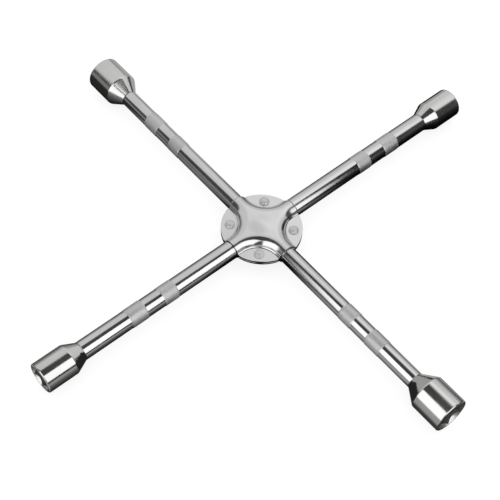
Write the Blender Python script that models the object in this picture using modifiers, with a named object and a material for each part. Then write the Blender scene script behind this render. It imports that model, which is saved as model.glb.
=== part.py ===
"""Four-way cross lug wrench: two crossed bars held by a riveted hub of two stamped plates.

Metres, +Z up. The wrench lies flat: bars along X and Y, origin under the hub at floor level.
"""
import math

import bpy
import bmesh
from mathutils import Matrix, Vector

# Driving dimensions
SPAN = 0.450                    # mouth to mouth, both ways
LARGE_BAR_DIA = 0.0150          # bar along X, carries the two large sockets
SMALL_BAR_DIA = 0.0164          # bar along Y, carries the two small sockets
LARGE_SOCKET_DIA = 0.0315
SMALL_SOCKET_DIA = 0.0265
LARGE_CONE_START = 0.1853       # distance from hub centre to the rear of a large socket
SMALL_CONE_START = 0.1867       # distance from hub centre to the rear of a small socket
SOCKET_BODY_START = 0.1977      # distance from hub centre to the full socket diameter
SHEET = 0.0020                  # thickness of a hub plate
DISC_RADIUS = 0.0345            # hub plate outline
CHANNEL_RADIUS = 0.0086         # outside of the channel pressed over each bar
CORNER_RADIUS = 0.0200          # plan fillet between neighbouring channels
RIVET_CIRCLE = 0.0270           # rivet distance from hub centre
GAP = 0.0003                    # clearance between mating pieces

# Hexagon across flats of each socket, and its heading from +X in degrees
SOCKETS = (
    ("socket_21mm", 0.021, 180.0),
    ("socket_23mm", 0.023, 0.0),
    ("socket_17mm", 0.017, 90.0),
    ("socket_19mm", 0.019, 270.0),
)

# Worked-out dimensions
REACH = SPAN / 2
CORE_RADIUS = CHANNEL_RADIUS - SHEET - GAP
HUB_HEIGHT = LARGE_SOCKET_DIA / 2
CORE_HALF = 0.0331              # half length of the slim part of a bar inside the hub
SPIGOT_RADIUS = 0.0050
SPIGOT_LENGTH = 0.0100
HEX_DEPTH = 0.0240
RELIEF_DEPTH = 0.0020
KNURL_RISE = 0.00035
KNURL_BANDS = ((0.1030, 0.1170), (0.1340, 0.1500))
LARGE_BAND_SHIFTS = (0.0, 0.0030)       # outward shift of the grip bands on the +X and -X arms
SMALL_BAND_SHIFTS = (0.0030, -0.0090)   # the same on the +Y and -Y arms
FLANGE_TOP = GAP / 2 + SHEET
BASE_FILLET = 0.0020
CROWN = 0.0005
RIVET_SHANK = 0.0030
RIVET_HEAD = 0.0045
RIVET_HEAD_HEIGHT = 0.0021

# Facets round each turned shape and along each plan fillet
TURN_STEPS = 32
SOCKET_STEPS = 40
RIVET_STEPS = 16
ARC_STEPS = 10

# (base colour, roughness, metallic)
MATERIALS = {
    "bar_chrome": ((0.80, 0.81, 0.82), 0.12, 1.0),
    "socket_chrome": ((0.78, 0.78, 0.78), 0.16, 1.0),
    "plate_chrome": ((0.80, 0.81, 0.82), 0.14, 1.0),
    "rivet_steel": ((0.74, 0.75, 0.76), 0.22, 1.0),
}


def clear_scene():
    for item in list(bpy.data.objects):
        bpy.data.objects.remove(item)


def make_material(name):
    colour, roughness, metallic = MATERIALS[name]
    material = bpy.data.materials.new(name)
    material.use_nodes = True
    shader = material.node_tree.nodes["Principled BSDF"]
    shader.inputs["Base Color"].default_value = (*colour, 1.0)
    shader.inputs["Roughness"].default_value = roughness
    shader.inputs["Metallic"].default_value = metallic
    return material


def add_object(name, mesh, collection, material=None):
    item = bpy.data.objects.new(name, mesh)
    collection.objects.link(item)
    if material:
        mesh.materials.append(material)
    return item


def add_cutter(name, bm, collection):
    """Make the bmesh a hidden cutting tool."""
    mesh = bpy.data.meshes.new(name)
    bm.to_mesh(mesh)
    bm.free()
    cutter = add_object(name, mesh, collection)
    cutter.hide_render = True
    cutter.display_type = "WIRE"
    return cutter


def cut(target, cutter):
    modifier = target.modifiers.new("cut_" + cutter.name, "BOOLEAN")
    modifier.operation = "DIFFERENCE"
    modifier.solver = "EXACT"
    modifier.object = cutter


def shade(item, degrees=30.0):
    bpy.context.view_layer.objects.active = item
    item.data.shade_smooth()
    item.data.set_sharp_from_angle(angle=math.radians(degrees))


def turned(name, profile, steps, collection, material):
    """Revolve a (radius, height) profile, listed top to bottom, about local Z."""
    mesh = bpy.data.meshes.new(name)
    points = [(radius, 0.0, height) for radius, height in profile]
    edges = [(i, i + 1) for i in range(len(points) - 1)]
    mesh.from_pydata(points, edges, [])
    item = add_object(name, mesh, collection, material)
    screw = item.modifiers.new("turn", "SCREW")
    screw.axis = "Z"
    screw.steps = steps
    screw.render_steps = steps
    screw.use_merge_vertices = True
    screw.merge_threshold = 0.00002
    screw.use_smooth_shade = False
    return item


def lay_along(item, heading):
    """Point local +Z along the heading in the plane of the hub."""
    turn = Matrix.Rotation(math.radians(heading), 4, "Z") @ Matrix.Rotation(math.radians(90.0), 4, "Y")
    item.matrix_world = Matrix.Translation((0.0, 0.0, HUB_HEIGHT)) @ turn


# Bars

def bar_half_profile(radius, shoulder, band_shift):
    """Upper half of a bar from the spigot tip down to the slim part inside the hub."""
    seat = shoulder - GAP
    points = [
        (0.0, seat + SPIGOT_LENGTH),
        (SPIGOT_RADIUS - 0.0006, seat + SPIGOT_LENGTH),
        (SPIGOT_RADIUS, seat + SPIGOT_LENGTH - 0.0006),
        (SPIGOT_RADIUS, seat),
        (radius, seat),
    ]
    for start, end in reversed(KNURL_BANDS):
        points += [
            (radius, end + band_shift),
            (radius + KNURL_RISE, end + band_shift - 0.0008),
            (radius + KNURL_RISE, start + band_shift + 0.0008),
            (radius, start + band_shift),
        ]
    points += [
        (radius, CORE_HALF + GAP + 0.0007),
        (CORE_RADIUS, CORE_HALF + GAP),
    ]
    return points


def make_bar(name, radius, shoulder, band_shifts, heading, lap_side, collection, cutters, material):
    upper = bar_half_profile(radius, shoulder, band_shifts[0])
    lower = [(r, -z) for r, z in reversed(bar_half_profile(radius, shoulder, band_shifts[1]))]
    bar = turned(name, upper + lower, TURN_STEPS, collection, material)
    lay_along(bar, heading)
    half = CORE_RADIUS + GAP
    height = 0.0100
    bm = bmesh.new()
    bmesh.ops.create_cube(bm, size=1.0)
    bmesh.ops.scale(bm, vec=(2 * half, 2 * half, height), verts=bm.verts)
    centre = Vector((0.0, 0.0, HUB_HEIGHT + lap_side * (height - GAP) / 2))
    bmesh.ops.translate(bm, vec=centre, verts=bm.verts)
    cut(bar, add_cutter(name + "_lap", bm, cutters))
    shade(bar)
    return bar


# Sockets

def socket_profile(radius, rear_radius, start, flats):
    """Solid socket with a lead-in cone at the mouth and a bore at the rear for the spigot."""
    rim = 0.0012                # rounding of the outer edge at the mouth
    lead = 0.0016               # depth of the lead-in cone, which starts just inside the hexagon
    inner = flats / 2 - 0.0006
    points = [(0.0, REACH - lead), (inner, REACH - lead), (inner + lead, REACH), (radius - rim, REACH)]
    for i in range(1, 4):
        angle = math.radians(30.0 * i)
        points.append((radius - rim + rim * math.sin(angle), REACH - rim + rim * math.cos(angle)))
    points += [
        (radius, SOCKET_BODY_START),
        (rear_radius, start),
        (SPIGOT_RADIUS + GAP, start),
        (SPIGOT_RADIUS + GAP, start + SPIGOT_LENGTH + GAP),
        (0.0, start + SPIGOT_LENGTH + GAP),
    ]
    return points


def hex_cutter(name, flats, collection):
    """Six-sided prism along local Z, from beyond the mouth to the full hexagon depth."""
    bm = bmesh.new()
    depth = HEX_DEPTH + 0.004
    place = Matrix.Translation((0.0, 0.0, REACH + 0.004 - depth / 2))
    turn = Matrix.Rotation(math.radians(30.0), 4, "Z")
    corner = flats / math.sqrt(3.0)
    bmesh.ops.create_cone(bm, cap_ends=True, segments=6, radius1=corner, radius2=corner,
                          depth=depth, matrix=place @ turn)
    return add_cutter(name, bm, collection)


def relief_cutter(name, flats, collection):
    """Round relief a little deeper than the hexagon, turned so that no facet lies on a hexagon corner."""
    bm = bmesh.new()
    depth = HEX_DEPTH + RELIEF_DEPTH + 0.002
    place = Matrix.Translation((0.0, 0.0, REACH + 0.002 - depth / 2)) @ Matrix.Rotation(0.05, 4, "Z")
    bmesh.ops.create_cone(bm, cap_ends=True, segments=32, radius1=flats * 0.40,
                          radius2=flats * 0.40, depth=depth, matrix=place)
    return add_cutter(name, bm, collection)


def make_socket(name, flats, heading, collection, cutters, material):
    large = heading in (0.0, 180.0)
    radius = (LARGE_SOCKET_DIA if large else SMALL_SOCKET_DIA) / 2
    rear = (LARGE_BAR_DIA if large else SMALL_BAR_DIA) / 2
    start = LARGE_CONE_START if large else SMALL_CONE_START
    profile = socket_profile(radius, rear, start, flats)
    socket = turned(name, profile, SOCKET_STEPS, collection, material)
    lay_along(socket, heading)
    tools = (
        hex_cutter(name + "_hex", flats, cutters),
        relief_cutter(name + "_relief", flats, cutters),
    )
    for tool in tools:
        lay_along(tool, heading)
        cut(socket, tool)
    shade(socket)
    return socket


# Hub plates

def channel_profile():
    """Matched (inset, height) points of the outer and inner skins, flange to channel top."""
    reach = math.sqrt((CHANNEL_RADIUS + BASE_FILLET) ** 2 - (FLANGE_TOP + BASE_FILLET) ** 2)
    fillet_centre = (CHANNEL_RADIUS - reach, FLANGE_TOP + BASE_FILLET)
    tangent = math.atan2(FLANGE_TOP + BASE_FILLET, reach)
    outer = []
    inner = []
    for i in range(4):
        angle = -math.pi / 2 + (math.pi / 2 - tangent) * i / 4
        for skin, r in ((outer, BASE_FILLET), (inner, BASE_FILLET + SHEET)):
            skin.append((fillet_centre[0] + r * math.cos(angle), fillet_centre[1] + r * math.sin(angle)))
    for i in range(7):
        angle = math.pi - tangent + (tangent - math.pi / 2) * i / 6
        for skin, r in ((outer, CHANNEL_RADIUS), (inner, CHANNEL_RADIUS - SHEET)):
            skin.append((CHANNEL_RADIUS + r * math.cos(angle), r * math.sin(angle)))
    return outer, inner


def plan_point(station, inset, end):
    """Plan position of a station of the channel outline, moved inward by inset."""
    centre = CHANNEL_RADIUS + CORNER_RADIUS
    if station == 0:
        return CHANNEL_RADIUS - inset, end
    if station == ARC_STEPS + 2:
        return end, CHANNEL_RADIUS - inset
    angle = math.pi + (math.pi / 2) * (station - 1) / ARC_STEPS
    r = CORNER_RADIUS + inset
    return centre + r * math.cos(angle), centre + r * math.sin(angle)


def plate_quadrant():
    """One quarter of a plate, open on its two mirror planes."""
    outer, inner = channel_profile()
    last = ARC_STEPS + 2
    foot = CHANNEL_RADIUS - outer[0][0]
    end = math.sqrt(DISC_RADIUS ** 2 - foot ** 2)
    first_angle = math.atan2(end, foot)
    last_angle = math.atan2(foot, end)
    bm = bmesh.new()

    def skin_rows(profile, flange_height):
        edge = []
        for k in range(last + 1):
            angle = first_angle + (last_angle - first_angle) * k / last
            edge.append(bm.verts.new((DISC_RADIUS * math.cos(angle), DISC_RADIUS * math.sin(angle),
                                      flange_height)))
        rows = [edge]
        for j, (inset, height) in enumerate(profile):
            row = []
            for k in range(last + 1):
                if j == 0 and k in (0, last):
                    row.append(edge[k])
                    continue
                x, y = plan_point(k, inset, end)
                row.append(bm.verts.new((x, y, height)))
            rows.append(row)
        top = profile[-1][1]
        inner_rows = []
        for share in (0.66, 0.33):
            ring = []
            for vert in rows[-1][1:last]:
                ring.append(bm.verts.new((vert.co.x * share, vert.co.y * share,
                                          top + CROWN * (1.0 - share ** 2))))
            inner_rows.append(ring)
        hub = bm.verts.new((0.0, 0.0, top + CROWN))
        return rows, inner_rows, hub

    def skin_faces(rows, inner_rows, hub, flip):
        def face(*corners):
            unique = []
            for corner in corners:
                if corner not in unique:
                    unique.append(corner)
            bm.faces.new(reversed(unique) if flip else unique)
        for low, high in zip(rows, rows[1:]):
            for k in range(last):
                face(low[k], high[k], high[k + 1], low[k + 1])
        rings = [rows[-1][1:last]] + inner_rows
        for low, high in zip(rings, rings[1:]):
            for k in range(len(low) - 1):
                face(low[k], high[k], high[k + 1], low[k + 1])
        for k in range(len(rings[-1]) - 1):
            face(rings[-1][k], hub, rings[-1][k + 1])

    top_rows, top_rings, top_hub = skin_rows(outer, FLANGE_TOP)
    low_rows, low_rings, low_hub = skin_rows(inner, GAP / 2)
    skin_faces(top_rows, top_rings, top_hub, False)
    skin_faces(low_rows, low_rings, low_hub, True)
    for k in range(last):
        bm.faces.new((top_rows[0][k], top_rows[0][k + 1], low_rows[0][k + 1], low_rows[0][k]))
    for k in (0, last):
        for j in range(1, len(top_rows) - 1):
            bm.faces.new((top_rows[j][k], top_rows[j + 1][k], low_rows[j + 1][k], low_rows[j][k]))
    bmesh.ops.recalc_face_normals(bm, faces=bm.faces)
    return bm


def rivet_places():
    for heading in (45.0, 135.0, 225.0, 315.0):
        angle = math.radians(heading)
        yield RIVET_CIRCLE * math.cos(angle), RIVET_CIRCLE * math.sin(angle)


def rivet_hole_cutter(collection):
    bm = bmesh.new()
    for x, y in rivet_places():
        bmesh.ops.create_cone(bm, cap_ends=True, segments=RIVET_STEPS, radius1=RIVET_SHANK + GAP,
                              radius2=RIVET_SHANK + GAP, depth=0.0120,
                              matrix=Matrix.Translation((x, y, HUB_HEIGHT)))
    return add_cutter("rivet_holes", bm, collection)


def make_plate(name, tilt, holes, collection, material):
    mesh = bpy.data.meshes.new(name)
    bm = plate_quadrant()
    bm.to_mesh(mesh)
    bm.free()
    plate = add_object(name, mesh, collection, material)
    mirror = plate.modifiers.new("quarters", "MIRROR")
    mirror.use_axis = (True, True, False)
    mirror.use_clip = True
    mirror.merge_threshold = 0.00002
    plate.matrix_world = Matrix.Translation((0.0, 0.0, HUB_HEIGHT)) @ Matrix.Rotation(tilt, 4, "X")
    cut(plate, holes)
    shade(plate, 35.0)
    return plate


# Rivets

def rivet_profile():
    seat = FLANGE_TOP + GAP
    brim = seat + 0.0004
    dome = RIVET_HEAD_HEIGHT - 0.0004
    top = [(0.0, brim + dome)]
    for i in range(1, 6):
        angle = math.radians(18.0 * i)
        top.append((RIVET_HEAD * math.sin(angle), brim + dome * math.cos(angle)))
    top += [(RIVET_HEAD, seat), (RIVET_SHANK, seat)]
    return top + [(r, -z) for r, z in reversed(top)]


def make_rivets(collection, material):
    names = ("rivet_right", "rivet_back", "rivet_left", "rivet_front")
    for name, (x, y) in zip(names, rivet_places()):
        rivet = turned(name, rivet_profile(), RIVET_STEPS, collection, material)
        rivet.location = (x, y, HUB_HEIGHT)
        shade(rivet)


def main():
    clear_scene()
    parts = bpy.data.collections.new("lug_wrench")
    cutters = bpy.data.collections.new("cutters")
    for collection in (parts, cutters):
        bpy.context.scene.collection.children.link(collection)
    materials = {name: make_material(name) for name in MATERIALS}

    make_bar("large_socket_bar", LARGE_BAR_DIA / 2, LARGE_CONE_START, LARGE_BAND_SHIFTS, 0.0, 1.0,
             parts, cutters, materials["bar_chrome"])
    make_bar("small_socket_bar", SMALL_BAR_DIA / 2, SMALL_CONE_START, SMALL_BAND_SHIFTS, 90.0, -1.0,
             parts, cutters, materials["bar_chrome"])
    for name, flats, heading in SOCKETS:
        make_socket(name, flats, heading, parts, cutters, materials["socket_chrome"])
    holes = rivet_hole_cutter(cutters)
    make_plate("upper_plate", 0.0, holes, parts, materials["plate_chrome"])
    make_plate("lower_plate", math.pi, holes, parts, materials["plate_chrome"])
    make_rivets(parts, materials["rivet_steel"])


main()
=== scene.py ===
import math

import bpy
import bmesh
from mathutils import Matrix, Vector


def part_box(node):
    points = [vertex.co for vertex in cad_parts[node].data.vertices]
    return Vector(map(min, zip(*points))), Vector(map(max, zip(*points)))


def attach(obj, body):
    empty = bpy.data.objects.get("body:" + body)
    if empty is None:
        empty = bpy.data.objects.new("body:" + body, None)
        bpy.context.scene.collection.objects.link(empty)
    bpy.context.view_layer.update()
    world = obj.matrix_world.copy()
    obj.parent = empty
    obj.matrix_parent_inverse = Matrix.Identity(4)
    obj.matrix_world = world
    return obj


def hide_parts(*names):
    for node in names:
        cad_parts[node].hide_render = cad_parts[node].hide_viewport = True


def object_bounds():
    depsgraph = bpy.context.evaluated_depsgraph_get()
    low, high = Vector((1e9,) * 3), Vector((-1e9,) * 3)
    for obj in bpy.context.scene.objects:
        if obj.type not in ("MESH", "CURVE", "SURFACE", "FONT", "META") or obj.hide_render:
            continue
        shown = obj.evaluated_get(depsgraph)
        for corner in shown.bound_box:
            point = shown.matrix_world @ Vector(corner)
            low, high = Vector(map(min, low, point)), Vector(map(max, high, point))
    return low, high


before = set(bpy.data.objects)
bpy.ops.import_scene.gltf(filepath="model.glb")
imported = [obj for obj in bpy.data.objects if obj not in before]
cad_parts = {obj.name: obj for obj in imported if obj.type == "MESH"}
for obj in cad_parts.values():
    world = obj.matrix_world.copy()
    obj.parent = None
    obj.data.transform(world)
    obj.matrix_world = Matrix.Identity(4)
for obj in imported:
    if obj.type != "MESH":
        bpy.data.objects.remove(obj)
CAD_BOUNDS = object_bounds()

# Sizes read from the frame
LOW, HIGH = (Vector(corner) for corner in CAD_BOUNDS)
REACH = HIGH.x
UPPER_PLATE_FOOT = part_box("upper_plate")[0].z
LOWER_PLATE_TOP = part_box("lower_plate")[1].z
HUB_HEIGHT = (UPPER_PLATE_FOOT + LOWER_PLATE_TOP) / 2
GAP = UPPER_PLATE_FOOT - LOWER_PLATE_TOP

# Finer sizes that the frame's plain solids don't carry, in metres unless a comment says otherwise
HOLD = 0.0003                   # spacing of the extra rings that keep long faces shading straight

SHEET = 0.0020                  # thickness of the hub plates
CHANNEL_RADIUS = 0.0086
CORNER_RADIUS = 0.0200
BASE_FILLET = 0.0020
CROWN = 0.0005
CROWN_SHARES = (0.84, 0.68, 0.54, 0.41, 0.29, 0.18, 0.08)   # rows of the dome, as shares of its outline
DISC_RADIUS = 0.0345
EDGE_ROUND = 0.0001             # rounding of a plate's rim

RIVET_SHANK = 0.0030
BRIM = 0.0004                   # thickness of the flat rim of a rivet's head
BRIM_EDGE = 0.0002
DOME_SHARE = 0.82               # share of a rivet's head that the dome covers
FLATTEN = 0.62                  # exponent below 1 that flattens a rivet's dome
DOME_STEPS = 8

BAR_EDGE = 0.0003               # chamfer of a bar's shoulders
CORE_RADIUS = CHANNEL_RADIUS - SHEET - GAP
CORE_HALF = 0.0331
LAP_HALF = CORE_RADIUS + GAP
LAP_MARGIN = 0.0002
SPIGOT_RADIUS = 0.0050
SPIGOT_LENGTH = 0.0100
SPIGOT_EDGE = 0.0006

KNURL_RISE = 0.00035
KNURL_BANDS = ((0.1030, 0.1170), (0.1340, 0.1500))
BAND_SHIFTS = {                 # outward shift of the grip bands on a bar's + arm and its - arm
    "large_socket_bar": (0.0, 0.0030),
    "small_socket_bar": (0.0030, -0.0090),
}
KNURL_CHAMFER = 0.0007
KNURL_ROW = 0.00034             # spacing of the rings that carry the knurl
KNURL_TWIST = 0.0078            # travel along the bar for each radian that a ridge turns
KNURL_BASE = 0.45               # share of the rise that the valleys keep

SOCKET_BODY_START = 0.1977
SHOULDER_SOFT = 0.0005          # half length of the softened edge between a socket's cone and body
HEX_DEPTH = 0.0240
RELIEF_SHARE = 0.40             # radius of the round relief below a hexagon, as a share of its flats
RELIEF_STEP = 0.0004
RELIEF_DEPTH = 0.0020
DRILL_POINT = 0.0010
LEAD_CLEARANCE = 0.0001         # how far the lead-in's mouth clears the hexagon's corners
LEAD_SLOPE = 1.4                # depth of the lead-in for each metre of its width
RIM = 0.0012                    # rounding of a socket's mouth
RIM_STEPS = 6

TEETH = 44
TURN_STEPS = TEETH * 4
SOCKET_STEPS = 96
ARC_STEPS = 24
RIVET_STEPS = 48

# Sizes of the studio, in metres, and how bright its cards are
STUDIO_REACH = 6.0
CEILING = 1.0
BACK_WALL = 3.0
WHITE_GLOW = 1.2
FLOOR_GLOW = 0.33
FLAG_GLOW = 0.02
FLAG_HEIGHT = 0.0255


# Mesh helpers

def finish_mesh(name, bm, materials, replaced, sharp=35.0):
    """Turn a bmesh in the row frame into a piece that rides on the root body."""
    bmesh.ops.remove_doubles(bm, verts=bm.verts, dist=0.000002)
    bmesh.ops.recalc_face_normals(bm, faces=bm.faces)
    mesh = bpy.data.meshes.new(name)
    bm.to_mesh(mesh)
    bm.free()
    for material in materials:
        mesh.materials.append(material)
    mesh.shade_smooth()
    mesh.set_sharp_from_angle(angle=math.radians(sharp))
    piece = bpy.data.objects.new(name, mesh)
    bpy.context.scene.collection.objects.link(piece)
    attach(piece, "root")
    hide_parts(*replaced)
    return piece


def lay_along(heading):
    """Lays a piece built along +Z flat at the hub's height, pointing at a heading in degrees from +X."""
    turn = Matrix.Rotation(math.radians(heading), 4, "Z") @ Matrix.Rotation(math.radians(90.0), 4, "Y")
    return Matrix.Translation((0.0, 0.0, HUB_HEIGHT)) @ turn


def ring_of(bm, steps, radius, height):
    """A ring whose radius and height may each be a number or a function of the angle."""
    ring = []
    for i in range(steps):
        angle = 2 * math.pi * i / steps
        r = radius(angle) if callable(radius) else radius
        z = height(angle) if callable(height) else height
        ring.append(bm.verts.new((r * math.cos(angle), r * math.sin(angle), z)))
    return ring


def skin(bm, rings, steps, slots=None):
    """Faces between rings, with a fan closing each end; slots gives a material index per strip."""
    for k, (upper, lower) in enumerate(zip(rings, rings[1:])):
        for i in range(steps):
            j = (i + 1) % steps
            face = bm.faces.new((upper[i], upper[j], lower[j], lower[i]))
            face.material_index = slots[k] if slots else 0
    for ring in (rings[0], rings[-1]):
        centre = sum((vert.co for vert in ring), Vector()) / steps
        tip = bm.verts.new(centre)
        for i in range(steps):
            bm.faces.new((ring[i], ring[(i + 1) % steps], tip))


# Procedural materials

class Graph:
    """The node tree of a material or world; a fed value is another node's output or a constant."""

    def __init__(self, owner):
        owner.use_nodes = True
        self.nodes = owner.node_tree.nodes
        self.links = owner.node_tree.links

    def add(self, kind, **settings):
        node = self.nodes.new("ShaderNode" + kind)
        for key, value in settings.items():
            setattr(node, key, value)
        return node

    def feed(self, socket, value):
        if isinstance(value, bpy.types.NodeSocket):
            self.links.new(value, socket)
        else:
            socket.default_value = value

    def math(self, operation, a, b=0.0):
        node = self.add("Math", operation=operation)
        self.feed(node.inputs[0], a)
        self.feed(node.inputs[1], b)
        return node.outputs["Value"]

    def remap(self, value, low, high, to_low=0.0, to_high=1.0):
        node = self.add("MapRange")
        for key, number in zip(("From Min", "From Max", "To Min", "To Max"), (low, high, to_low, to_high)):
            node.inputs[key].default_value = number
        self.feed(node.inputs["Value"], value)
        return node.outputs["Result"]

    def noise(self, scale, detail, stretch=(1.0, 1.0, 1.0)):
        coords = self.add("TexCoord")
        mapping = self.add("Mapping")
        mapping.inputs["Scale"].default_value = stretch
        texture = self.add("TexNoise")
        texture.inputs["Scale"].default_value = scale
        texture.inputs["Detail"].default_value = detail
        self.feed(mapping.inputs["Vector"], coords.outputs["Object"])
        self.feed(texture.inputs["Vector"], mapping.outputs["Vector"])
        return texture.outputs["Fac"]

    def bump(self, height, strength, normal=None):
        node = self.add("Bump")
        node.inputs["Strength"].default_value = strength
        node.inputs["Distance"].default_value = 0.0001
        self.feed(node.inputs["Height"], height)
        if normal is not None:
            self.feed(node.inputs["Normal"], normal)
        return node.outputs["Normal"]


def chrome(name, colour, roughness, smudge, grain_axis=None, grain=0.0, metallic=1.0):
    """Plated steel: clouded tone and gloss, fine pitting, and an optional turned grain."""
    material = bpy.data.materials.new(name)
    graph = Graph(material)
    shader = graph.nodes["Principled BSDF"]
    shader.inputs["Metallic"].default_value = metallic
    cloud = graph.noise(38.0, 4.0)
    speck = graph.noise(900.0, 2.0)
    tone = graph.add("Mix", data_type="RGBA")
    tone.inputs["A"].default_value = (*[c * 0.93 for c in colour], 1.0)
    tone.inputs["B"].default_value = (*colour, 1.0)
    graph.feed(tone.inputs["Factor"], graph.remap(cloud, 0.35, 0.65))
    graph.feed(shader.inputs["Base Color"], tone.outputs["Result"])
    gloss = graph.math("ADD", graph.remap(cloud, 0.35, 0.70, roughness, roughness + smudge),
                       graph.remap(speck, 0.40, 0.80, 0.0, smudge * 0.5))
    graph.feed(shader.inputs["Roughness"], gloss)
    normal = graph.bump(graph.noise(2600.0, 2.0), 0.05)
    if grain_axis is not None:
        stretch = [0.02, 0.02, 0.02]
        stretch[grain_axis] = 1.0
        normal = graph.bump(graph.noise(4200.0, 1.0, tuple(stretch)), grain, normal)
    graph.feed(shader.inputs["Normal"], normal)
    return material


BRIGHT = (0.86, 0.86, 0.87)
WARM = (0.86, 0.855, 0.84)
MATERIALS = {
    "bar_x": chrome("bar_chrome_x", BRIGHT, 0.08, 0.05, 0, 0.05),
    "bar_y": chrome("bar_chrome_y", BRIGHT, 0.08, 0.05, 1, 0.05),
    "knurl": chrome("bar_knurl", (0.86, 0.86, 0.86), 0.46, 0.12),
    "socket_x": chrome("socket_chrome_x", WARM, 0.11, 0.07, 0, 0.07),
    "socket_y": chrome("socket_chrome_y", WARM, 0.11, 0.07, 1, 0.07),
    # The bore's dark grey colour is painted shade inside the socket; its duller gloss is the metal's own
    # finish
    "bore": chrome("socket_bore_painted_shade", (0.30, 0.30, 0.295), 0.32, 0.12, metallic=0.9),
    "lead_in": chrome("socket_lead_in", WARM, 0.24, 0.10),
    "plate": chrome("plate_chrome", BRIGHT, 0.10, 0.08),
    "rivet": chrome("rivet_steel", (0.90, 0.90, 0.91), 0.44, 0.10),
}


# Bars with diamond-knurled grip bands

def knurl_height(angle, z):
    """Crossed helical ridges, from 0 in the valleys to 1 on the diamonds."""
    slope = TEETH / KNURL_TWIST
    a = 0.5 + 0.5 * math.cos(TEETH * angle + slope * z)
    b = 0.5 + 0.5 * math.cos(TEETH * angle - slope * z)
    return max(a, b) * 0.35 + a * b * 0.65


def knurl_rings(bm, radius, start, end):
    """Rings from start up to end: chamfer, knurled field, chamfer."""
    count = round((end - start) / KNURL_ROW)
    rings = []
    for k in range(count + 1):
        z = start + (end - start) * k / count
        rise = KNURL_RISE * min(1.0, (z - start) / KNURL_CHAMFER, (end - z) / KNURL_CHAMFER)

        def surface(angle):
            return radius + rise * (KNURL_BASE + (1.0 - KNURL_BASE) * knurl_height(angle, z))

        rings.append(ring_of(bm, TURN_STEPS, surface, z))
    return rings


def bar_half_rings(bm, radius, shoulder, band_shift, sign):
    """Rings from the slim middle out to the spigot tip, and whether each starts a knurled strip."""
    seat = shoulder - GAP
    core_end = CORE_HALF + GAP
    step_end = core_end + 2 * BAR_EDGE
    spigot_end = seat + SPIGOT_LENGTH
    plain = [
        (CORE_RADIUS, LAP_HALF),
        (CORE_RADIUS, LAP_HALF + LAP_MARGIN),
        (CORE_RADIUS, core_end - HOLD),
        (CORE_RADIUS, core_end),
        (radius - BAR_EDGE, core_end + BAR_EDGE),
        (radius, step_end),
        (radius, step_end + HOLD),
    ]
    rings = [ring_of(bm, TURN_STEPS, r, z) for r, z in plain]
    marks = [0] * len(rings)
    for start, end in KNURL_BANDS:
        start += band_shift
        end += band_shift
        rings.append(ring_of(bm, TURN_STEPS, radius, start - HOLD))
        marks.append(0)
        band = knurl_rings(bm, radius, start, end)
        rings += band
        marks += [1] * (len(band) - 1) + [0]
        rings.append(ring_of(bm, TURN_STEPS, radius, end + HOLD))
        marks.append(0)
    tail = [
        (radius, seat - BAR_EDGE - HOLD),
        (radius, seat - BAR_EDGE),
        (radius - BAR_EDGE, seat),
        (SPIGOT_RADIUS, seat),
        (SPIGOT_RADIUS, spigot_end - SPIGOT_EDGE),
        (SPIGOT_RADIUS - SPIGOT_EDGE, spigot_end),
    ]
    rings += [ring_of(bm, TURN_STEPS, r, z) for r, z in tail]
    marks += [0] * len(tail)
    for ring in rings:
        for vert in ring:
            vert.co.z *= sign
    return rings, marks


def make_bar(node, heading, socket, material):
    """A full bar, half-lapped where it crosses the other one; socket is the one on its + arm."""
    low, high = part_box(node)
    radius = (high.z - HUB_HEIGHT if node.startswith("small") else HUB_HEIGHT - low.z) - KNURL_RISE
    across = 0 if heading == 0.0 else 1
    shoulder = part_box(socket)[0][across]
    bm = bmesh.new()
    up, up_marks = bar_half_rings(bm, radius, shoulder, BAND_SHIFTS[node][0], 1.0)
    down, down_marks = bar_half_rings(bm, radius, shoulder, BAND_SHIFTS[node][1], -1.0)
    strips = list(reversed(up_marks[:-1])) + [0] + down_marks[:-1]
    skin(bm, list(reversed(up)) + down, TURN_STEPS, strips)
    bm.transform(lay_along(heading))
    lap = 1.0 if heading == 0.0 else -1.0
    for vert in bm.verts:
        if abs(vert.co[across]) < LAP_HALF + LAP_MARGIN / 2:
            rise = (vert.co.z - HUB_HEIGHT) * lap
            if rise > -GAP / 2:
                vert.co.z = HUB_HEIGHT - lap * GAP / 2
    materials = [material, MATERIALS["knurl"]]
    return finish_mesh(node + "_knurled", bm, materials, [node], 40.0)


# Hexagon sockets

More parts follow.
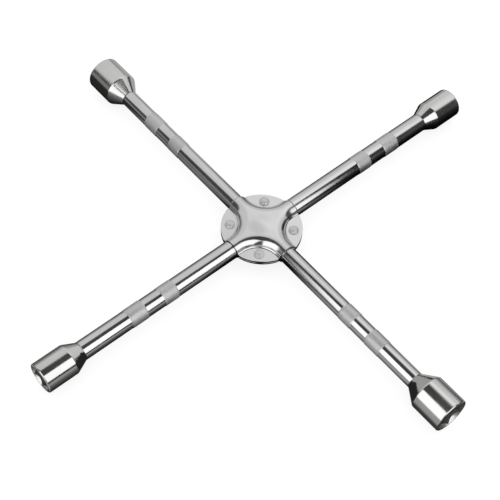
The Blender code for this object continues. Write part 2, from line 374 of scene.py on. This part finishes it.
def make_socket(node, flats, heading, bar_radius, material):
    """A socket turned about its bar: hexagon bore, lead-in, rounded mouth, body, cone and rear bore."""
    low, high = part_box(node)
    radius = (high.z - low.z) / 2
    along = 0 if heading in (0.0, 180.0) else 1
    start = min(abs(low[along]), abs(high[along]))
    lead = flats / math.sqrt(3.0) + LEAD_CLEARANCE

    def hexagon(angle):
        return flats / 2 / math.cos((angle % (math.pi / 3)) - math.pi / 6)

    def lead_edge(angle):
        return REACH - (lead - hexagon(angle)) * LEAD_SLOPE

    floor = REACH - HEX_DEPTH
    relief = flats * RELIEF_SHARE
    bm = bmesh.new()
    rings = [
        ring_of(bm, SOCKET_STEPS, relief * 0.25, floor - RELIEF_DEPTH - DRILL_POINT),
        ring_of(bm, SOCKET_STEPS, relief, floor - RELIEF_DEPTH),
        ring_of(bm, SOCKET_STEPS, relief, floor),
        ring_of(bm, SOCKET_STEPS, hexagon, floor + RELIEF_STEP),
        ring_of(bm, SOCKET_STEPS, hexagon, lead_edge),
        ring_of(bm, SOCKET_STEPS, lead, REACH),
    ]
    for i in range(RIM_STEPS + 1):
        angle = math.radians(90.0 * i / RIM_STEPS)
        rings.append(ring_of(bm, SOCKET_STEPS, radius - RIM + RIM * math.sin(angle),
                             REACH - RIM + RIM * math.cos(angle)))
    slope = (radius - bar_radius) / (SOCKET_BODY_START - start)
    soft = SHOULDER_SOFT
    tail = [
        (radius, REACH - RIM - HOLD),
        (radius, SOCKET_BODY_START + soft + HOLD),
        (radius, SOCKET_BODY_START + soft),
        (radius - soft * slope * 0.25, SOCKET_BODY_START + soft * 0.2),
        (radius - soft * slope, SOCKET_BODY_START - soft),
        (radius - (soft + HOLD) * slope, SOCKET_BODY_START - soft - HOLD),
        (bar_radius + HOLD * slope, start + HOLD),
        (bar_radius, start),
        (SPIGOT_RADIUS + GAP, start),
        (SPIGOT_RADIUS + GAP, start + SPIGOT_LENGTH + GAP),
    ]
    rings += [ring_of(bm, SOCKET_STEPS, r, z) for r, z in tail]
    # The relief and the hexagon take the bore material, whose dark colour is painted shade
    materials = [material, MATERIALS["bore"], MATERIALS["lead_in"]]
    inside = [1, 1, 1, 1, 2]
    skin(bm, rings, SOCKET_STEPS, inside + [0] * (len(rings) - 1 - len(inside)))
    bm.transform(lay_along(heading))
    return finish_mesh(node + "_turned", bm, materials, [node], 28.0)


# Pressed hub plates

def channel_profile(fillet_steps=6, top_steps=14):
    """Matched (inset, height) points of the outer and inner skins, flange to channel top."""
    flange = GAP / 2 + SHEET
    reach = math.sqrt((CHANNEL_RADIUS + BASE_FILLET) ** 2 - (flange + BASE_FILLET) ** 2)
    centre = (CHANNEL_RADIUS - reach, flange + BASE_FILLET)
    tangent = math.atan2(flange + BASE_FILLET, reach)
    outer = [(centre[0] - HOLD, flange)]
    inner = [(centre[0] - HOLD, flange - SHEET)]
    for i in range(fillet_steps):
        angle = -math.pi / 2 + (math.pi / 2 - tangent) * i / fillet_steps
        for side, r in ((outer, BASE_FILLET), (inner, BASE_FILLET + SHEET)):
            side.append((centre[0] + r * math.cos(angle), centre[1] + r * math.sin(angle)))
    for i in range(top_steps + 1):
        angle = math.pi - tangent + (tangent - math.pi / 2) * i / top_steps
        for side, r in ((outer, CHANNEL_RADIUS), (inner, CHANNEL_RADIUS - SHEET)):
            side.append((CHANNEL_RADIUS + r * math.cos(angle), r * math.sin(angle)))
    return outer, inner


def plan_point(station, inset, end):
    """A point of the channel's edge in plan: out along +Y, round the concave corner, out along +X."""
    centre = CHANNEL_RADIUS + CORNER_RADIUS
    if station == 0:
        return CHANNEL_RADIUS - inset, end
    if station == ARC_STEPS + 2:
        return end, CHANNEL_RADIUS - inset
    angle = math.pi + (math.pi / 2) * (station - 1) / ARC_STEPS
    r = CORNER_RADIUS + inset
    return centre + r * math.cos(angle), centre + r * math.sin(angle)


def crown_height(x, y):
    """Soft swell of the dome inside the circle that touches its four concave sides."""
    reach = (math.sqrt(2.0) - 1.0) * (CHANNEL_RADIUS + CORNER_RADIUS)
    return CROWN * max(0.0, 1.0 - (x * x + y * y) / reach ** 2) ** 2


def plate_quadrant(bm, mirror_x, mirror_y):
    """One quarter of a plate in the +X +Y corner, flipped into place by the mirrors."""
    outer, inner = channel_profile()
    last = ARC_STEPS + 2
    foot = CHANNEL_RADIUS - outer[0][0]
    end = math.sqrt((DISC_RADIUS - EDGE_ROUND) ** 2 - foot ** 2)
    first_angle = math.atan2(end, foot)
    last_angle = math.atan2(foot, end)

    def vert(x, y, z):
        return bm.verts.new((x * mirror_x, y * mirror_y, z))

    def face(*corners):
        unique = []
        for corner in corners:
            if corner not in unique:
                unique.append(corner)
        if len(unique) > 2:
            bm.faces.new(unique)

    def disc_row(radius, height):
        row = []
        for k in range(last + 1):
            angle = first_angle + (last_angle - first_angle) * k / last
            row.append(vert(radius * math.cos(angle), radius * math.sin(angle), height))
        return row

    def skin_rows(profile):
        rows = []
        for inset, height in profile:
            rows.append([vert(*plan_point(k, inset, end), height) for k in range(last + 1)])
        top = profile[-1][1]
        for share in CROWN_SHARES:
            row = [None] * (last + 1)
            for k in range(1, last):
                x, y = (share * value for value in plan_point(k, profile[-1][0], end))
                row[k] = vert(x, y, top + crown_height(x, y))
            rows.append(row)
        rows.append([vert(0.0, 0.0, top + CROWN)] * (last + 1))
        return rows

    def join(low, high):
        for k in range(last):
            corners = (low[k], high[k], high[k + 1], low[k + 1])
            if None not in corners:
                face(*corners)

    top_rows = skin_rows(outer)
    low_rows = skin_rows(inner)
    rim = [
        disc_row(DISC_RADIUS - EDGE_ROUND, outer[0][1]),
        disc_row(DISC_RADIUS, outer[0][1] - EDGE_ROUND),
        disc_row(DISC_RADIUS, inner[0][1] + EDGE_ROUND),
        disc_row(DISC_RADIUS - EDGE_ROUND, inner[0][1]),
    ]
    chain = list(reversed(top_rows)) + rim + low_rows
    for low, high in zip(chain, chain[1:]):
        join(low, high)
    for k in (0, last):
        for upper, lower in zip(zip(top_rows, top_rows[1:]), zip(low_rows, low_rows[1:])):
            corners = [row[k] for row in (*upper, lower[1], lower[0])]
            if None not in corners:
                face(*corners)
        face(top_rows[0][k], rim[0][k], rim[1][k], rim[2][k], rim[3][k], low_rows[0][k])


def make_plate(node, side):
    """A pressed plate; side is 1 for the upper one and -1 for the lower one."""
    bm = bmesh.new()
    for mirror_x in (1, -1):
        for mirror_y in (1, -1):
            plate_quadrant(bm, mirror_x, mirror_y)
    bm.transform(Matrix.Translation((0.0, 0.0, HUB_HEIGHT)) @ Matrix.Diagonal((1.0, 1.0, side, 1.0)))
    return finish_mesh(node + "_pressed", bm, [MATERIALS["plate"]], [node], 40.0)


# Rivets

def make_rivet(node):
    """A rivet with a shank and a brimmed, flattened dome at each end."""
    low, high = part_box(node)
    centre = (low + high) / 2
    head = (high.x - low.x) / 2
    seat = GAP / 2 + SHEET + GAP
    top = high.z - centre.z
    rise = top - seat - BRIM
    dome = head * DOME_SHARE
    bm = bmesh.new()
    upper = []
    for i in range(1, DOME_STEPS + 1):
        # The last step stops just short of 90 degrees, so that the cosine stays above 0
        angle = math.radians(90.0 * i / DOME_STEPS - 0.001)
        out = dome * math.sin(angle) ** FLATTEN
        upper.append((out, seat + BRIM + rise * math.cos(angle) ** FLATTEN))
    upper += [
        (head - BRIM_EDGE, seat + BRIM),
        (head, seat + BRIM - BRIM_EDGE),
        (head, seat),
        (RIVET_SHANK, seat),
    ]
    profile = upper + [(r, -z) for r, z in reversed(upper)]
    rings = [ring_of(bm, RIVET_STEPS, r, z) for r, z in profile]
    for tip, ring in ((top, rings[0]), (-top, rings[-1])):
        pole = bm.verts.new((0.0, 0.0, tip))
        for i in range(RIVET_STEPS):
            bm.faces.new((ring[i], ring[(i + 1) % RIVET_STEPS], pole))
    for a, b in zip(rings, rings[1:]):
        for i in range(RIVET_STEPS):
            j = (i + 1) % RIVET_STEPS
            bm.faces.new((a[i], a[j], b[j], b[i]))
    bm.transform(Matrix.Translation(centre))
    return finish_mesh(node + "_domed", bm, [MATERIALS["rivet"]], [node], 40.0)


# Studio: a pale floor, and cards that only reflections see

def show_only_in_reflections(item):
    item.visible_camera = False
    item.visible_diffuse = False
    item.visible_shadow = False
    item.visible_transmission = False


def flat_mesh(name, corners, material):
    """A single face of the studio, which isn't part of the object."""
    mesh = bpy.data.meshes.new(name)
    mesh.from_pydata(corners, [], [tuple(range(len(corners)))])
    mesh.materials.append(material)
    item = bpy.data.objects.new(name, mesh)
    bpy.context.scene.collection.objects.link(item)
    return item


def level_square(height):
    """Corners of a horizontal square that reaches to the studio's limits."""
    reach = STUDIO_REACH
    return [(x * reach, y * reach, height) for x, y in ((-1, -1), (1, -1), (1, 1), (-1, 1))]


def glow(name):
    """An emission material, its graph, its strength socket and the position of the shaded point."""
    material = bpy.data.materials.new(name)
    graph = Graph(material)
    graph.nodes.remove(graph.nodes["Principled BSDF"])
    light = graph.add("Emission")
    graph.feed(graph.nodes["Material Output"].inputs["Surface"], light.outputs["Emission"])
    return material, graph, light.inputs["Strength"], graph.add("NewGeometry").outputs["Position"]


def along(graph, position, direction):
    """How far a position lies in a direction."""
    node = graph.add("VectorMath", operation="DOT_PRODUCT")
    graph.feed(node.inputs[0], position)
    graph.feed(node.inputs[1], direction)
    return node.outputs["Value"]


def away(graph, position, centre):
    """How far a position is from a centre."""
    node = graph.add("VectorMath", operation="DISTANCE")
    graph.feed(node.inputs[0], position)
    graph.feed(node.inputs[1], centre)
    return node.outputs["Value"]


def card(name, corners, strength, fade=None):
    """A card of one brightness, or one that fades: (direction, dark at, full at)."""
    material, graph, socket, position = glow(name)
    if fade:
        direction, dark, full = fade
        strength = graph.remap(along(graph, position, direction), dark, full, 0.0, strength)
    graph.feed(socket, strength)
    show_only_in_reflections(flat_mesh(name, corners, material))


def floor_card():
    """The floor as reflections see it: painted shadow darkens it beside the bars and hub, and a few
    stretches have painted light.
    """
    material, graph, socket, position = glow("card_floor_painted_shade_and_light")
    split = graph.add("SeparateXYZ")
    graph.feed(split.inputs[0], position)
    x, y = split.outputs["X"], split.outputs["Y"]
    from_x_bar = graph.math("ABSOLUTE", y)
    from_y_bar = graph.math("ABSOLUTE", x)
    from_hub = away(graph, position, (0.0, 0.0, LOW.z))

    # Painted shadow: darker beside the bars and around the hub, where the wrench shades the floor; it also
    # dims to the left, past the left socket and towards the back
    beside = graph.math("SUBTRACT", from_x_bar, graph.remap(x, 0.17, 0.19, 0.0, 0.020))
    value = graph.math("MINIMUM", graph.remap(beside, 0.008, 0.030, 0.04, FLOOR_GLOW),
                       graph.remap(from_y_bar, 0.014, 0.100, 0.015, FLOOR_GLOW))
    dimmer_left = graph.remap(x, -0.03, 0.03, 0.55, 1.0)
    dark_at_left_socket = graph.remap(x, -0.200, -0.165, 0.12, 1.0)
    dark_at_back = graph.remap(y, 0.06, 0.11, 1.0, 0.05)
    painted_shadow_at_hub = graph.remap(from_hub, 0.045, 0.070, 0.05, 1.0)
    for factor in (dimmer_left, dark_at_left_socket, dark_at_back, painted_shadow_at_hub):
        value = graph.math("MULTIPLY", value, factor)

    # Painted light: brighter patches of floor just before the sockets' mouths
    for outward, sideways, strength in ((graph.math("MULTIPLY", y, -1.0), from_y_bar, 0.40),
                                        (x, from_x_bar, 0.05)):
        painted_light_before_mouth = graph.math("MULTIPLY", graph.remap(outward, 0.226, 0.240, 0.0, strength),
                                  graph.remap(sideways, 0.04, 0.08, 1.0, 0.0))
        value = graph.math("MAXIMUM", value, painted_light_before_mouth)

    # Painted light: a lit stretch of floor behind the bar along X, cut off at the right socket
    nearer_x_bar = graph.remap(graph.math("SUBTRACT", from_y_bar, y), 0.02, 0.05)
    behind = graph.math("MAXIMUM", nearer_x_bar, graph.remap(x, -0.16, -0.12, 1.0, 0.0))
    lit_at_back = graph.remap(y, 0.004, 0.012, 0.0, 0.42)
    off_at_right_socket = graph.remap(x, 0.18, 0.20, 1.0, 0.0)
    for factor in (lit_at_back, off_at_right_socket):
        behind = graph.math("MULTIPLY", behind, factor)

    graph.feed(socket, graph.math("MAXIMUM", value, behind))
    show_only_in_reflections(flat_mesh("card_floor_painted_shade_and_light", level_square(LOW.z - 0.0005), material))


def ceiling_card():
    """Soft overhead light behind the wrench, with a straight edge and a brighter right corner."""
    material, graph, socket, position = glow("card_back")
    right_back = graph.remap(along(graph, position, (0.0, 1.0, 0.0)), 0.38, 0.50, 0.0, 0.28)
    near_right = graph.remap(away(graph, position, (0.5, -0.6, CEILING)), 1.3, 1.9, 1.0, 0.0)
    lift = graph.math("MULTIPLY", right_back, near_right)
    edge = graph.remap(along(graph, position, (-0.748, 0.664, 0.0)), 0.16, 0.28)
    value = graph.math("MULTIPLY", graph.math("ADD", 0.62, lift), edge)
    graph.feed(socket, graph.math("MAXIMUM", value, 0.05))
    show_only_in_reflections(flat_mesh("card_back", level_square(CEILING), material))


def wall(axis, place, start, end, low, high):
    """Corners of an upright rectangle at a fixed x (axis 0) or y (axis 1)."""
    flat = [(start, low), (end, low), (end, high), (start, high)]
    return [(place, side, z) if axis == 0 else (side, place, z) for side, z in flat]


def make_cards():
    """Cards that give the chrome its bands, and two small flags that darken the near sockets' cones."""
    reach = STUDIO_REACH
    ceiling_card()
    floor_card()
    card("card_back_left", wall(0, -BACK_WALL, -reach, reach, 0.0, CEILING), 0.36)
    card("card_back_middle", wall(1, BACK_WALL, -reach, 0.0, 0.0, CEILING), 0.30)
    card("card_back_right", wall(1, BACK_WALL, 0.0, 2.0, 0.0, CEILING), 0.05)
    white_y = [(0.27, -0.55, 1.18), (0.27, 0.75, 1.18), (1.25, 0.75, 0.31), (1.25, -0.55, 0.31)]
    card("card_white_y", white_y, WHITE_GLOW, ((0.2, -1.0, 0.0), -0.465, -0.415))
    white_x = [(-0.47, -0.55, 1.03), (0.36, -0.55, 1.03), (0.90, -1.25, 0.11), (-0.53, -1.25, 0.11)]
    card("card_white_x", white_x, WHITE_GLOW, ((1.0, 0.0, 0.0), -0.410, -0.290))
    card("card_low_left", wall(1, -1.3, -reach, -0.57, -0.2, 0.6), 0.20)
    card("card_low_front", wall(1, -BACK_WALL, -reach, reach, -0.2, 0.6), 0.30)
    card("card_low_right", wall(0, BACK_WALL, -reach, reach, -0.2, 0.4), 0.03)
    card("flag_large", wall(0, 0.1845, -0.045, -0.0055, LOW.z, FLAG_HEIGHT), FLAG_GLOW)
    card("flag_small", wall(1, -0.1860, 0.0060, 0.045, LOW.z, FLAG_HEIGHT), FLAG_GLOW)


def make_floor():
    """The pale floor; reflections see the floor card in its place."""
    material = bpy.data.materials.new("floor_pale")
    material.use_nodes = True
    shader = material.node_tree.nodes["Principled BSDF"]
    shader.inputs["Base Color"].default_value = (0.22, 0.22, 0.22, 1.0)
    shader.inputs["Roughness"].default_value = 0.9
    shader.inputs["Specular IOR Level"].default_value = 0.1
    shader.inputs["Emission Color"].default_value = (1.0, 1.0, 1.0, 1.0)
    shader.inputs["Emission Strength"].default_value = 0.84
    floor = flat_mesh("floor", level_square(LOW.z - 0.0001), material)
    floor.visible_glossy = False


def make_world():
    """Pale for the camera and for matte surfaces, nearly black behind the cards in reflections."""
    world = bpy.data.worlds.new("studio")
    graph = Graph(world)
    path = graph.add("LightPath")
    background = graph.nodes["Background"]
    background.inputs["Color"].default_value = (1.0, 1.0, 1.0, 1.0)
    strength = graph.remap(path.outputs["Is Glossy Ray"], 0.0, 1.0, 0.85, 0.05)
    graph.feed(background.inputs["Strength"], strength)
    bpy.context.scene.world = world


def area_light(name, location, size, power):
    """A soft round light that faces the origin and doesn't show in reflections."""
    light = bpy.data.lights.new(name, "AREA")
    light.shape = "DISK"
    light.size = size
    light.energy = power
    item = bpy.data.objects.new(name, light)
    item.location = location
    item.rotation_euler = Vector(location).to_track_quat("Z", "Y").to_euler()
    item.visible_glossy = False
    bpy.context.scene.collection.objects.link(item)


def make_studio():
    make_floor()
    make_world()
    make_cards()
    area_light("key", (-0.6, 0.8, 1.8), 2.2, 4.0)
    area_light("fill", (0.9, -0.9, 1.6), 2.2, 4.0)


# Camera

def make_camera():
    """Looks down on the hub from between the +X and -Y arms."""
    azimuth, elevation, roll = (math.radians(v) for v in (47.25, 56.17, 3.20))
    distance = 1.0047
    target = Vector((0.0102, -0.0214, HUB_HEIGHT))
    back = Vector((math.sin(azimuth) * math.cos(elevation), -math.cos(azimuth) * math.cos(elevation),
                   math.sin(elevation)))
    right = Vector((0, 0, 1)).cross(back).normalized()
    up = back.cross(right)
    rolled_right = right * math.cos(roll) + up * math.sin(roll)
    rolled_up = up * math.cos(roll) - right * math.sin(roll)
    data = bpy.data.cameras.new("camera")
    data.lens = 86.8
    data.sensor_width = 36.0
    data.clip_start = 0.01
    camera = bpy.data.objects.new("camera", data)
    rotation = Matrix((rolled_right, rolled_up, back)).transposed().to_4x4()
    camera.matrix_world = Matrix.Translation(target + back * distance) @ rotation
    bpy.context.scene.collection.objects.link(camera)
    bpy.context.scene.camera = camera


def main():
    bar_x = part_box("large_socket_bar")
    bar_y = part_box("small_socket_bar")
    radius_x = (bar_x[1].y - bar_x[0].y) / 2 - KNURL_RISE
    radius_y = (bar_y[1].x - bar_y[0].x) / 2 - KNURL_RISE
    make_bar("large_socket_bar", 0.0, "socket_23mm", MATERIALS["bar_x"])
    make_bar("small_socket_bar", 90.0, "socket_17mm", MATERIALS["bar_y"])
    for node, flats, heading in (("socket_23mm", 0.023, 0.0), ("socket_21mm", 0.021, 180.0)):
        make_socket(node, flats, heading, radius_x, MATERIALS["socket_x"])
    for node, flats, heading in (("socket_17mm", 0.017, 90.0), ("socket_19mm", 0.019, 270.0)):
        make_socket(node, flats, heading, radius_y, MATERIALS["socket_y"])
    make_plate("upper_plate", 1.0)
    make_plate("lower_plate", -1.0)
    for node in ("rivet_right", "rivet_back", "rivet_left", "rivet_front"):
        make_rivet(node)
    make_studio()
    make_camera()
    bpy.context.scene.view_settings.view_transform = "Standard"


main()
